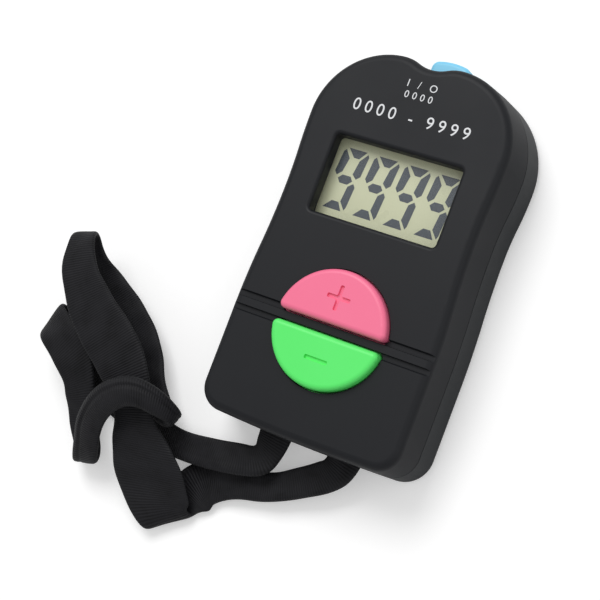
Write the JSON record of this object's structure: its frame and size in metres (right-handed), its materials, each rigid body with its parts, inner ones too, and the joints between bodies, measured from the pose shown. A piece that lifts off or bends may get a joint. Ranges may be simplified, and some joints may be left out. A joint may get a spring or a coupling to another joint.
{
  "type": "hand tally counter",
  "caption": "Hand-held electronic tally counter: dark shell, digit window, semicircular plus and minus keys, reset button at the top edge and a ribbon lanyard.",
  "frame": {"origin": "on the back, under the middle of the housing, at the surface it lies on; the reset key stands out beyond the housing and is not counted in that middle", "axes": "+Z out of the display face, +Y towards the reset button end, +X to the right seen from above"},
  "size_m": [0.0812, 0.0975, 0.0156],
  "materials": {
    "housing": "satin charcoal",
    "tape": "matte",
    "lens": "clear",
    "display": "grey-green with dark segments",
    "contact_rubber": "matte",
    "inner_plastic": "matte",
    "board": "solder mask green",
    "epoxy": "gloss",
    "steel": "plated",
    "brass": "plated",
    "plus_plastic": "satin pink",
    "minus_plastic": "satin green",
    "reset_plastic": "satin light blue",
    "ribbon": "woven, slightly shiny"
  },
  "bodies": {
    "case_body": {"front_shell": "housing", "rear_shell": "housing", "lens_tape": "tape", "display_lens": "lens", "display_cell": "display", "contact_strip": "contact_rubber", "display_frame": "inner_plastic", "circuit_board": "board", "chip_blob": "epoxy", "chip_parts": "epoxy", "plus_switch_base": "inner_plastic", "plus_switch_cover": "steel", "plus_snap_dome": "steel", "minus_switch_base": "inner_plastic", "minus_switch_cover": "steel", "minus_snap_dome": "steel", "reset_switch_base": "inner_plastic", "reset_switch_cover": "steel", "reset_snap_dome": "steel", "button_cell": "steel", "cell_holder": "inner_plastic", "negative_contact": "brass", "positive_contact": "brass", "case_screws": "steel", "board_screws": "steel", "lanyard_strand_left": "ribbon", "lanyard_hank": "ribbon", "lanyard_strand_right": "ribbon", "lanyard_bridge_loop": "ribbon"},
    "plus_body": {"plus_key": "plus_plastic", "plus_switch_stem": "inner_plastic"},
    "minus_body": {"minus_key": "minus_plastic", "minus_switch_stem": "inner_plastic"},
    "reset_body": {"reset_key": "reset_plastic", "reset_switch_stem": "inner_plastic"},
    "cap_body": {"battery_cap": "housing"}
  },
  "joints": [
    {"name": "plus_press", "type": "slide", "parent": "case_body", "child": "plus_body", "axis": [0, 0, -1], "range_m": [0, 0.0005], "stiffness_N_per_m": 500, "springref_m": -0.001, "deforming": ["plus_snap_dome"]},
    {"name": "minus_press", "type": "slide", "parent": "case_body", "child": "minus_body", "axis": [0, 0, -1], "range_m": [0, 0.0005], "stiffness_N_per_m": 500, "springref_m": -0.001, "deforming": ["minus_snap_dome"]},
    {"name": "reset_press", "type": "slide", "parent": "case_body", "child": "reset_body", "axis": [0, -1, 0], "range_m": [0, 0.0005], "stiffness_N_per_m": 500, "springref_m": -0.001},
    {"name": "battery_cap_turn", "type": "hinge", "parent": "case_body", "child": "cap_body", "pos_m": [0, -0.01545, 0.001], "axis": [0, 0, -1], "range_deg": [0, 60]}
  ]
}
